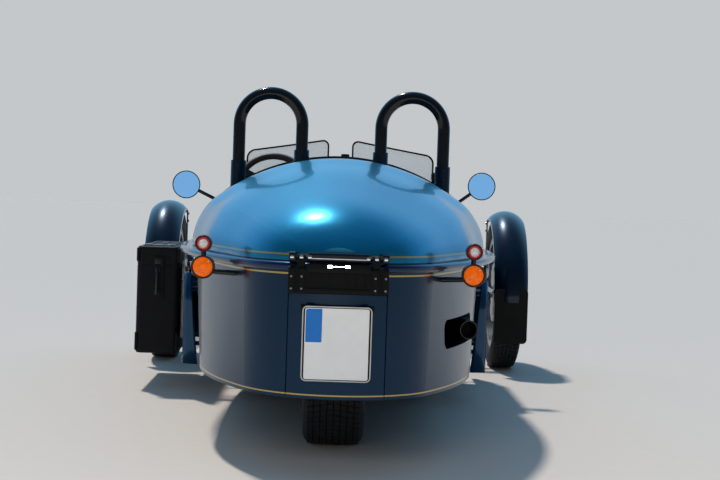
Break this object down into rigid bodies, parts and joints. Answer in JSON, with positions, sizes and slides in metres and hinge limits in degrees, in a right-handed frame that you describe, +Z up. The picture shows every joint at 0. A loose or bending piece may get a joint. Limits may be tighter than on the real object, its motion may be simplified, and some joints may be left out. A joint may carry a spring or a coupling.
{
  "type": "three wheeled car",
  "caption": "Open two-seat three-wheeled car: rounded tail deck, twin roll hoops, steered front wheels under close guards, single rear wheel",
  "frame": {"origin": "on the ground at the middle of the overall length and width", "axes": "+Y forward, +X to the car's right, +Z up"},
  "size_m": [1.77, 3.5809, 1.1975],
  "materials": {
    "body_blue": "gloss metallic blue",
    "rubber": "black rubber",
    "gloss_black": "gloss black",
    "guard_blue": "gloss dark blue",
    "glass": "clear screen",
    "leather": "brown seat cover",
    "matte_black": "matte black moulding",
    "silver": "cast and machined metal",
    "steel": "plain steel",
    "plate_white": "blank white plate",
    "lens_red": "red lens",
    "lens_orange": "orange lens",
    "mirror": "mirror glass",
    "tyre": "black tyre",
    "rim_metal": "cast wheel"
  },
  "bodies": {
    "body": {"tub": "body_blue", "tail_tub": "body_blue", "belt_rail": "body_blue", "cockpit_surround": "body_blue", "coaming": "rubber", "bonnet": "body_blue", "hoops": "gloss_black", "hoop_sleeves": "guard_blue", "screens": "glass", "screen_rims": "gloss_black", "scuttle_fittings": "gloss_black", "dashboard": "body_blue", "gauges": "gloss_black", "seat_left": "leather", "seat_right": "leather", "tunnel": "matte_black", "controls": "silver", "wishbones": "silver", "steering_rack": "steel", "swingarm": "gloss_black", "tail_hinge": "gloss_black", "plate_frame": "gloss_black", "plate": "plate_white", "lamps": "gloss_black", "tail_lenses": "lens_red", "indicator_lenses": "lens_orange", "exhaust": "gloss_black", "mirrors": "gloss_black", "mirror_glasses": "mirror", "blades": "body_blue", "radiators": "matte_black", "side_rails": "steel", "side_case": "matte_black", "headlamps": "silver", "headlamp_glasses": "glass", "engine": "silver", "grille": "silver"},
    "tail_deck": {"tail_deck": "body_blue", "deck_leaf": "gloss_black"},
    "steering_wheel": {"steering_wheel": "gloss_black"},
    "knuckle_left": {"knuckle_left": "silver", "guard_left": "guard_blue", "flap_left": "rubber"},
    "knuckle_right": {"knuckle_right": "silver", "guard_right": "guard_blue", "flap_right": "rubber"},
    "track_rods": {"track_rods": "steel"},
    "wheel_fl": {"tyre_fl": "tyre", "rim_fl": "rim_metal"},
    "wheel_fr": {"tyre_fr": "tyre", "rim_fr": "rim_metal"},
    "wheel_rear": {"tyre_rear": "tyre", "rim_rear": "rim_metal"}
  },
  "joints": [
    {"name": "steer_left", "type": "hinge", "parent": "body", "child": "knuckle_left", "pos_m": [-0.725, 1.3415, 0.35], "axis": [0, 0, 1], "range_deg": [-28, 28]},
    {"name": "steer_right", "type": "hinge", "parent": "body", "child": "knuckle_right", "pos_m": [0.725, 1.3415, 0.35], "axis": [0, 0, 1], "range_deg": [-28, 28]},
    {"name": "steering_turn", "type": "hinge", "parent": "body", "child": "steering_wheel", "pos_m": [-0.265, 0.0745, 0.83], "axis": [0, -0.9063, 0.4226], "range_deg": [-336, 336]},
    {"name": "rack_slide", "type": "slide", "parent": "body", "child": "track_rods", "axis": [1, 0, 0], "range_m": [-0.0517, 0.0517]},
    {"name": "tail_deck_hinge", "type": "hinge", "parent": "body", "child": "tail_deck", "pos_m": [0, -1.7705, 0.636], "axis": [1, 0, 0], "range_deg": [0, 60]},
    {"name": "wheel_fl_spin", "type": "hinge", "parent": "knuckle_left", "child": "wheel_fl", "pos_m": [-0.807, 1.3415, 0.358], "axis": [1, 0, 0], "continuous": true},
    {"name": "wheel_fr_spin", "type": "hinge", "parent": "knuckle_right", "child": "wheel_fr", "pos_m": [0.807, 1.3415, 0.358], "axis": [1, 0, 0], "continuous": true},
    {"name": "wheel_rear_spin", "type": "hinge", "parent": "body", "child": "wheel_rear", "pos_m": [0, -1.0485, 0.317], "axis": [1, 0, 0], "continuous": true}
  ],
  "couplings": [
    {"joint": "steer_right", "follows": "steer_left", "ratio": 1},
    {"joint": "steering_turn", "follows": "steer_left", "ratio": 12},
    {"joint": "rack_slide", "follows": "steer_left", "m_per_rad": 0.1057}
  ]
}
